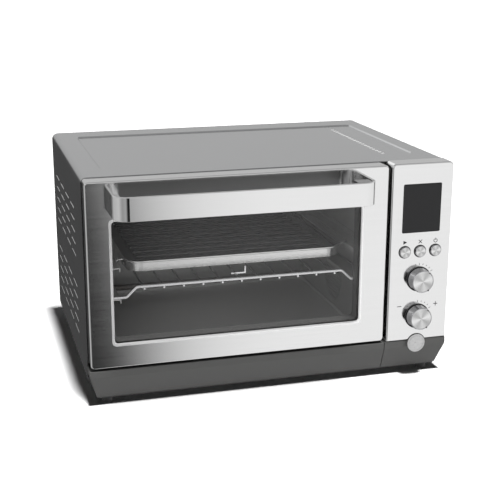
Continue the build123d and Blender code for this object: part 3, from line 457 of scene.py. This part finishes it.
def closed_wire(name, points, radius, body, slot):
    """A round wire through the points and back to the first."""
    curve = bpy.data.curves.new(name, "CURVE")
    curve.dimensions = "3D"
    curve.bevel_depth = radius
    curve.bevel_resolution = 3
    line = curve.splines.new("POLY")
    line.points.add(len(points) - 1)
    for point, place in zip(line.points, points):
        point.co = (*place, 1.0)
    line.use_cyclic_u = True
    holder = bpy.data.objects.new(name + "_path", curve)
    mesh = bpy.data.meshes.new_from_object(holder)
    mesh.name = name
    bpy.data.objects.remove(holder)
    for face in mesh.polygons:
        face.use_smooth = True
    made = bpy.data.objects.new(name, mesh)
    bpy.context.scene.collection.objects.link(made)
    mesh.materials.clear()
    mesh.materials.append(finishes[slot])
    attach(made, body)
    return made


def rounded_loop(x, y, z, radius):
    """Points round a rectangle in the X-Y plane with rounded corners."""
    points = []
    corners = ((x[1], y[1], 0), (x[0], y[1], 90), (x[0], y[0], 180), (x[1], y[0], 270))
    for cx, cy, start in corners:
        mx = cx - radius if cx == x[1] else cx + radius
        my = cy - radius if cy == y[1] else cy + radius
        for i in range(CORNER_STEPS + 1):
            angle = radians(start + 90 * i / CORNER_STEPS)
            points.append((mx + radius * cos(angle), my + radius * sin(angle), z))
    return points


# %% [markdown]
# ## Knobs and buttons
#
# Their faces are turned on a lathe, and the tool leaves a spiral of shallow grooves. The
# grooves could be left to a bump, but they are made as rings in the mesh, so that the rim of
# the face has real relief. The wedges of light and dark that such a face shows are painted
# highlights in its base colour, which hold still in any light. The knob's skirt is polished,
# and two small black blocks on its rim are painted shade where its notches are.

# %% Turned faces
GROOVE_PITCH = 0.9 * MM
GROOVE_DEPTH = 0.035 * MM
GROOVE_POINTS = 4
KNOB_SIDES = 96
BUTTON_SIDES = 72


def grooved_face(radius, depth):
    """Profile points of a flat turned face, from its centre out to radius."""
    points = [(0.0, depth)]
    count = int(radius / GROOVE_PITCH) * GROOVE_POINTS
    for i in range(1, count + 1):
        wave = 0.5 - 0.5 * cos(2 * pi * i / GROOVE_POINTS)
        points.append((radius * i / count, depth - GROOVE_DEPTH * wave))
    return points


# %% [markdown]
# One function makes both knobs. A knob is a turned face, a skirt whose profile runs over the
# rim and round to the hollow underside, and two short black blocks let into the rim, painted
# shade for its notches. The skirt stands for the whole CAD knob.

# %% Knobs
FACE_INSET = 1.5 * MM
FACE_SUNK = 0.5 * MM
NOTCH_SHADE_BEARINGS = (52, -58)


def knob(name, body):
    """Face, bright rim, polished skirt and hollow underside of one knob."""
    low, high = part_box(name)
    centre = Vector(((low.x + high.x) / 2, high.y, (low.z + high.z) / 2))
    reach = high.y - low.y
    radius = (high.x - low.x) / 2
    cap = radius - 0.9 * MM
    face = bmesh.new()
    turned(face, centre, grooved_face(cap - FACE_INSET, reach - FACE_SUNK), KNOB_SIDES)
    piece_from(face, f"{name}_face", body, "control_metal", f"spun_{name}")
    skirt = bmesh.new()
    profile = [
        (cap - FACE_INSET, reach - FACE_SUNK),
        (cap - 1.3 * MM, reach - 0.1 * MM),
        (cap - 1.0 * MM, reach),
        (cap - 0.5 * MM, reach - 0.1 * MM),
        (cap, reach - 0.6 * MM),
        (cap + 0.15 * MM, reach - 1.2 * MM),
        (radius - 0.35 * MM, 0.9 * MM),
        (radius, 0.3 * MM),
        (radius - 0.2 * MM, 0.0),
        (radius - 3.0 * MM, 0.0),
        (radius - 3.0 * MM, reach - 3.0 * MM),
        (3.2 * MM, reach - 3.0 * MM),
    ]
    turned(skirt, centre, profile, KNOB_SIDES)
    side = piece_from(skirt, f"{name}_skirt", body, "control_metal")
    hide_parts(name)
    # black blocks in the rim: painted shade where the knob has notches
    marks = bmesh.new()
    for degrees in NOTCH_SHADE_BEARINGS:
        angle = radians(degrees)
        out = Vector((cos(angle), 0, sin(angle)))
        along = Vector((-sin(angle), 0, cos(angle)))
        corners = []
        for r, t in ((-1.6, -0.9), (0.1, -0.9), (0.1, 0.9), (-1.6, 0.9)):
            corners.append(centre + out * (cap + r * MM) + along * (t * MM))
        lower = [marks.verts.new(c - Vector((0, reach - 1.2 * MM, 0))) for c in corners]
        upper = [marks.verts.new(c - Vector((0, reach + 0.01 * MM, 0))) for c in corners]
        marks.faces.new(lower)
        marks.faces.new(upper)
        for i in range(4):
            marks.faces.new((lower[i], lower[i - 1], upper[i - 1], upper[i]))
    piece_from(marks, f"{name}_notch_shade", body, "black_trim", smooth=False)


knob("knob_upper", "upper_knob")
knob("knob_lower", "lower_knob")
print("knobs turned")

# %% [markdown]
# A push button has the same kind of face. Behind its rim the profile steps out to a flange,
# which keeps it from falling out of the panel, and then in to the stem.

# %% Push buttons
BUTTON_CAP = 7.4 * MM
BUTTON_SINK = 8.1 * MM


def push_button(name):
    """Turned face and rounded rim of one push button, over its flange and stem."""
    low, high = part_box(name)
    centre = Vector(((low.x + high.x) / 2, high.y, (low.z + high.z) / 2))
    reach = high.y - low.y
    cap = BUTTON_CAP
    flange = (high.x - low.x) / 2
    flange_back = reach - BUTTON_SINK
    face = bmesh.new()
    turned(face, centre, grooved_face(cap - 0.9 * MM, reach - 0.25 * MM), BUTTON_SIDES)
    piece_from(face, f"{name}_face", name, "control_metal", f"spun_{name}")
    body = bmesh.new()
    profile = [
        (cap - 0.9 * MM, reach - 0.25 * MM),
        (cap - 0.7 * MM, reach),
        (cap - 0.3 * MM, reach - 0.1 * MM),
        (cap, reach - 0.5 * MM),
        (cap, flange_back + 1.2 * MM),
        (flange, flange_back + 1.2 * MM),
        (flange, flange_back),
        (2.5 * MM, flange_back),
        (2.5 * MM, 0.0),
        (0.0, 0.0),
    ]
    turned(body, centre, profile, BUTTON_SIDES)
    side = piece_from(body, f"{name}_body", name, "control_metal")
    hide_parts(name)


for button in BUTTONS:
    push_button(button)
print("buttons turned")

# %% [markdown]
# ## Louvres and vent holes
#
# The slots in the sides are louvres: below each cut the metal is pressed inward, so that
# a curved lip shows through it and catches the light; the lip is also a brighter copy of the
# cover's steel, a painted highlight. The vent holes in the top are pierced, and each keeps a
# raised rim, coloured whitish so that it shows as a painted glint.

# %% Louvres
SLOT_LENGTH = 42 * MM
SLOT_HEIGHT = 2.2 * MM
SLOT_ROWS = 5
SLOT_COLUMNS = 4
SLOT_DROPS = 10.6
LIP_COLUMNS = 12
LIP_ROWS = 5
slot_front = FRONT + 101 * MM
slot_back = cover_high.y - 36 * MM
slot_top = cover_high.z - 55 * MM
slot_bottom = cover_low.z + 36.3 * MM
slot_drop = (slot_top - slot_bottom) / SLOT_DROPS
slot_heights = [slot_top - i * slot_drop for i in range(SLOT_ROWS)]
slot_heights += [slot_bottom + i * slot_drop for i in range(SLOT_ROWS)]
slot_step = (slot_back - slot_front - SLOT_LENGTH) / (SLOT_COLUMNS - 1)
slot_places = [slot_front + SLOT_LENGTH / 2 + i * slot_step for i in range(SLOT_COLUMNS)]


def louvre(mesh, side, y, z):
    """One pressed lip inside a slot. It rises from the slot's lower edge and leans inward."""
    skin = cover_high.x - 0.05 * MM
    columns = []
    for i in range(LIP_COLUMNS + 1):
        along = -1 + 2 * i / LIP_COLUMNS
        flare = 1 - abs(along) ** 6
        column = []
        for j in range(LIP_ROWS + 1):
            rise = j / LIP_ROWS
            inward = (2.2 * flare + 0.2) * rise**1.6 * MM
            upward = SLOT_HEIGHT * 0.78 * flare * rise
            place = (
                side * (skin - inward),
                y + along * SLOT_LENGTH / 2 * 0.98,
                z - SLOT_HEIGHT / 2 + upward,
            )
            column.append(mesh.verts.new(place))
        columns.append(column)
    for left, right in zip(columns, columns[1:]):
        for j in range(LIP_ROWS):
            mesh.faces.new((left[j], right[j], right[j + 1], left[j + 1]))


for side, label in ((-1, "left"), (1, "right")):
    lips = bmesh.new()
    for y in slot_places:
        for z in slot_heights:
            louvre(lips, side, y, z)
    # the lips wear a brighter copy of the cover's steel: partly a painted highlight
    made = piece_from(lips, f"louvre_lips_{label}", "oven_body", "cover_steel", "painted_highlight_sheet")
    sheet = made.modifiers.new("sheet", "SOLIDIFY")
    sheet.thickness = 0.3 * MM
    sheet.offset = -1.0

print("louvres:", 2 * len(slot_places) * len(slot_heights))

# %% [markdown]
# A rim is a ring of short strips, each with the same few points from the hole's wall over
# the crest and down to the sheet. The strips share their edges once doubles are merged.

# %% Rims of the vent holes
VENTS = 20
RIM_SIDES = 16
RIM_PROFILE = ((1.45, -0.5), (1.55, 0.25), (1.85, 0.5), (2.2, 0.3), (2.45, -0.02))
vent_x = cover_high.x - 66 * MM
vent_z = cover_high.z - 1.5 * MM
vent_front = FRONT + 81 * MM
vent_step = (cover_high.y - 74 * MM - vent_front) / (VENTS - 1)
rims = bmesh.new()
for i in range(VENTS):
    centre = Vector((vent_x, vent_front + i * vent_step, vent_z))
    for side in range(RIM_SIDES):
        strip = []
        for angle in (2 * pi * side / RIM_SIDES, 2 * pi * (side + 1) / RIM_SIDES):
            for r, up in RIM_PROFILE:
                offset = Vector((r * cos(angle), r * sin(angle), up)) * MM
                strip.append(rims.verts.new(centre + offset))
        row = len(RIM_PROFILE)
        for k in range(row - 1):
            rims.faces.new((strip[k], strip[k + 1], strip[k + row + 1], strip[k + row]))
bmesh.ops.remove_doubles(rims, verts=rims.verts, dist=1e-6)
# the rims are coloured whitish: painted glints
piece_from(rims, "vent_rims", "oven_body", "cover_steel", "painted_glint_metal")
print("vents:", VENTS)

# %% [markdown]
# ## Bakeware and cavity details
#
# The pan's rim is rolled over a wire for stiffness, so a bead runs round it.

# %% Rolled bead on the pan
BEAD_OUTSET = 5 * MM
BEAD_CORNER = 22 * MM
BEAD_RADIUS = 1.3 * MM
insert_low, insert_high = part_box("broil_insert")
bead_x = (insert_low.x - BEAD_OUTSET, insert_high.x + BEAD_OUTSET)
bead_y = (insert_low.y - BEAD_OUTSET, insert_high.y + BEAD_OUTSET)
bead_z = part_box("bake_pan")[1].z - 0.9 * MM
bead_path = rounded_loop(bead_x, bead_y, bead_z, BEAD_CORNER)
closed_wire("pan_rim_bead", bead_path, BEAD_RADIUS, "pan", "pan_metal")
print("pan bead at z", round(bead_z, 4))

# %% [markdown]
# ## The fan's grille
#
# A black ring round each hole of the perforated field in the right-hand wall is painted shade.
# The holes stand in a honeycomb inside a circle, in front of the fan.

# %% Painted shade rings of the grille
GRILLE_RADIUS = 36 * MM
GRILLE_PITCH = 5.2 * MM
ROW_STEP = GRILLE_PITCH * cos(radians(30))
HOLE_RADIUS = 1.3 * MM
SHADE_RING_WIDTH = 0.45 * MM
SHADE_RING_SIDES = 10
grille_y, grille_z = FRONT + 173 * MM, 92 * MM
wall_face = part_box("cavity_right_wall")[1].x - 0.8 * MM
shade_rings = bmesh.new()
rows = int(GRILLE_RADIUS / ROW_STEP)
holes = 0
for row in range(-rows, rows + 1):
    for column in range(-rows - 1, rows + 2):
        y = column * GRILLE_PITCH + (GRILLE_PITCH / 2 if row % 2 else 0.0)
        z = row * ROW_STEP
        if y**2 + z**2 > GRILLE_RADIUS**2:
            continue
        holes += 1
        rings = []
        for reach, proud in ((HOLE_RADIUS, 0.04 * MM), (HOLE_RADIUS + SHADE_RING_WIDTH, 0.02 * MM)):
            ring = []
            for k in range(SHADE_RING_SIDES):
                turn = 2 * pi * k / SHADE_RING_SIDES
                ring.append(
                    shade_rings.verts.new(
                        (
                            wall_face - proud,
                            grille_y + y + reach * cos(turn),
                            grille_z + z + reach * sin(turn),
                        )
                    )
                )
            rings.append(ring)
        inner, outer = rings
        for k in range(SHADE_RING_SIDES):
            shade_rings.faces.new((inner[k - 1], inner[k], outer[k], outer[k - 1]))
# the black rings round the holes are painted shade
piece_from(shade_rings, "grille_painted_shade", "oven_body", "cavity_metal", "black_trim")
print("shade_ringed holes:", holes)

# %% [markdown]
# ## The handle's back
#
# Only the outside of the handle's strip is polished. Its back keeps the dull mill finish,
# which is what the door mirrors above the bar.

# %% Dull back of the handle
handle_low, handle_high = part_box("handle")
BAR_THICK = 3.2 * MM
BAR_BEND = 19 * MM
back_y = handle_low.y + BAR_THICK
dull = bmesh.new()
left, right = handle_low.x + BAR_BEND, handle_high.x - BAR_BEND
low, high = handle_low.z + 1.2 * MM, handle_high.z - 1.2 * MM
rim = [(left, low), (right, low), (right, high), (left, high)]
near = [dull.verts.new((x, back_y - 0.2 * MM, z)) for x, z in rim]
far = [dull.verts.new((x, back_y + 0.06 * MM, z)) for x, z in rim]
dull.faces.new(near)
dull.faces.new(far)
for i in range(4):
    dull.faces.new((near[i - 1], near[i], far[i], far[i - 1]))
coated("mill_finish", (0.36, 0.36, 0.36), 0.32, 800.0, 0.00001, metallic=0.8)
piece_from(dull, "handle_back", "door", slot_of["handle"], "mill_finish", smooth=False)
print("handle back at y", round(back_y, 4))

# %% [markdown]
# ## Printed marks
#
# The control panel has small printed symbols: one over each button, and a scale round each
# knob. They are flat shapes laid a hair's breadth on the metal, all plain geometric signs.

# %% Printed marks
INK_PROUD = 0.06 * MM
SCALE_MARKS = 9
SCALE_START = 150
SCALE_STEP = 15
SCALE_RADIUS = 20.4 * MM
ink_y = FRONT - INK_PROUD
marks = bmesh.new()


def flat_shape(points):
    """A thin printed shape with the given (x, z) outline."""
    front = [marks.verts.new((x, ink_y, z)) for x, z in points]
    back = [marks.verts.new((x, FRONT + 0.02 * MM, z)) for x, z in points]
    marks.faces.new(front)
    marks.faces.new(list(reversed(back)))
    for i in range(len(points)):
        marks.faces.new((front[i - 1], front[i], back[i], back[i - 1]))


def stroke(x, z, length, width, degrees):
    """A short straight printed line, centred on x and z."""
    angle = radians(degrees)
    along = Vector((cos(angle), sin(angle))) * length / 2
    across = Vector((-sin(angle), cos(angle))) * width / 2
    corners = (-along - across, along - across, along + across, -along + across)
    flat_shape([(x + c.x, z + c.y) for c in corners])


def ring_arc(x, z, radius, width, start, end, steps):
    """Part of a printed ring."""
    turns = [radians(start + (end - start) * i / steps) for i in range(steps + 1)]
    for a, b in zip(turns, turns[1:]):
        outline = []
        for r, t in ((radius, a), (radius, b), (radius + width, b), (radius + width, a)):
            outline.append((x + r * cos(t), z + r * sin(t)))
        flat_shape(outline)


left_button, middle_button, right_button = (middle(name) for name in BUTTONS)
label_z = left_button.z + 13.0 * MM
flat_shape(
    [
        (left_button.x - 2.4 * MM, label_z - 2.6 * MM),
        (left_button.x + 2.8 * MM, label_z),
        (left_button.x - 2.4 * MM, label_z + 2.6 * MM),
    ]
)
for turn in (45, -45):
    stroke(middle_button.x, label_z, 6.6 * MM, 0.9 * MM, turn)
ring_arc(right_button.x, label_z, 2.0 * MM, 0.8 * MM, 115, 425, 20)
stroke(right_button.x, label_z + 2.2 * MM, 2.8 * MM, 0.8 * MM, 90)
for name in KNOBS:
    centre = middle(name)
    for i in range(SCALE_MARKS):
        degrees = SCALE_START - i * SCALE_STEP
        stroke(
            centre.x + SCALE_RADIUS * cos(radians(degrees)),
            centre.z + SCALE_RADIUS * sin(radians(degrees)),
            (2.0 if i % 4 else 3.2) * MM,
            0.6 * MM,
            degrees,
        )
lower = middle("knob_lower")
for side in (-1, 1):
    stroke(lower.x + side * 26 * MM, lower.z + 15 * MM, 6.0 * MM, 0.9 * MM, 0)
stroke(lower.x + 26 * MM, lower.z + 15 * MM, 6.0 * MM, 0.9 * MM, 90)
piece_from(marks, "printed_marks", "oven_body", "black_trim", "print_ink", smooth=False)
print("printed marks at y", round(ink_y, 5))

# %% [markdown]
# ## The studio
#
# Polished metal shows its surroundings, so the studio matters as much as the finish. A pale
# floor carries on to the horizon, and a distant light with a softened edge stands almost
# overhead. The metal doesn't mirror the floor: it mirrors the dome, whose lower half is laid
# out like a product photographer's white boards and black flags, so that each edge of the
# steel gets its line.

# %% Floor
scene = bpy.context.scene
scene.view_settings.view_transform = "Standard"


def flat_board(name, x, y, z):
    """A level rectangle for the studio."""
    mesh = bpy.data.meshes.new(name)
    corners = [(x[0], y[0], z), (x[1], y[0], z), (x[1], y[1], z), (x[0], y[1], z)]
    mesh.from_pydata(corners, [], [(0, 1, 2, 3)])
    made = bpy.data.objects.new(name, mesh)
    scene.collection.objects.link(made)
    return made


floor = flat_board("studio_floor", (-40, 40), (-40, 40), 0.0)
paper = finish("studio_paper", base_color=(0.93, 0.93, 0.93), roughness=0.9)[1]
paper.inputs["Specular IOR Level"].default_value = 0.1
floor.data.materials.append(finishes["studio_paper"])
floor.visible_glossy = False
print("floor ready")

# %% [markdown]
# The dome has two halves. Above the horizon it is a soft grey that depends on height alone.
# Below it, the brightness follows the compass: white boards to the right of the oven, a
# narrow black flag just right of straight ahead, another one behind, and grey at the left.
# The boards lean a little, so a bearing shifts with the height of the gaze. The dome is for
# reflections only: it lights no matt surface, which the overhead light does.

# %% Dome and lights
BOARD_LEAN = 0.0236
COMPASS_ZERO = 0.5085
world = bpy.data.worlds.new("studio_dome")
scene.world = world
world.use_nodes = True
sky = Bench(world.node_tree)
direction = sky.node("ShaderNodeTexCoord", output="Generated")
to_right, to_back, to_top = (
    sky.node("ShaderNodeSeparateXYZ", inputs={0: direction}, output=name) for name in "XYZ"
)
ahead = sky.node("ShaderNodeMath", {"operation": "ARCTAN2"}, {0: to_right, 1: 0.0 - to_back})
compass = ahead / (2 * pi) + to_top * BOARD_LEAN + COMPASS_ZERO


def grey(level):
    """A neutral grey."""
    return (level, level, level)


def boards(bearings_and_levels):
    """Colour ramp stops from compass bearings, 0 straight ahead of the door, 90 at its right."""
    return [((bearing + 180) / 360, grey(level)) for bearing, level in bearings_and_levels]


LOWER = (
    (-180, 0.06),
    (-165, 0.07),
    (-140, 0.50),
    (-75, 0.62),
    (-45, 0.35),
    (-18, 0.42),
    (-5, 0.02),
    (8.8, 0.006),
    (9.4, 0.20),
    (10.3, 0.47),
    (11.2, 0.63),
    (13.5, 0.90),
    (18, 1.02),
    (30, 1.02),
    (100, 0.95),
    (150, 0.55),
    (166, 0.13),
)
UPPER = (
    (0.0, grey(0.46)),
    (0.2, grey(0.55)),
    (0.34, grey(0.56)),
    (0.42, grey(1.25)),
    (0.50, grey(0.60)),
    (0.7, grey(0.38)),
    (1.0, grey(0.46)),
)
lower_half = sky.node("ShaderNodeValToRGB", {"stops": boards(LOWER)}, {0: compass})
upper_half = sky.node("ShaderNodeValToRGB", {"stops": UPPER}, {0: to_top})
above_horizon = (to_top * 16.0 + 0.5).clamped()
background = world.node_tree.nodes["Background"]
sky.feed(background.inputs["Color"], sky.blend(above_horizon, lower_half, upper_half))
background.inputs["Strength"].default_value = 1.0
world.cycles_visibility.diffuse = False

sun = bpy.data.lights.new("overhead_light", "SUN")
sun.energy = 5.2
sun.angle = radians(5)
overhead = bpy.data.objects.new("overhead_light", sun)
overhead.rotation_euler = (radians(12), radians(3.2), 0)
overhead.visible_glossy = False
scene.collection.objects.link(overhead)
print("dome and overhead light ready")

# %% [markdown]
# Little of that light finds its way through the glass, so a faint glow nearly as large as
# the door's liner fills the cavity from its mouth. It stands in for light that the room
# would send in, and it isn't a lamp of the oven.

# %% Cavity glow
liner_low, liner_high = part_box("door_liner")
glow = bpy.data.lights.new("cavity_glow", "AREA")
glow.shape = "RECTANGLE"
glow.size = (liner_high.x - liner_low.x) * 0.86
glow.size_y = (liner_high.z - liner_low.z) * 0.72
glow.energy = 0.13
cavity_glow = bpy.data.objects.new("cavity_glow", glow)
cavity_glow.location = (liner_low + liner_high) / 2
cavity_glow.location.y = liner_high.y + 3 * MM
cavity_glow.rotation_euler = (radians(90), 0, 0)
scene.collection.objects.link(cavity_glow)
print("cavity glow at y", round(cavity_glow.location.y, 4))

# %% [markdown]
# The camera stands a little to the left of the oven and above it, with a long lens.

# %% Camera
camera_data = bpy.data.cameras.new("camera")
camera_data.sensor_width = 36.0
camera_data.lens = 76.9
camera = bpy.data.objects.new("camera", camera_data)
camera.location = (-0.3873, -1.3880, 0.5583)
camera.rotation_euler = (radians(90 - 15.94), 0.0, radians(-15.38))
scene.collection.objects.link(camera)
scene.camera = camera
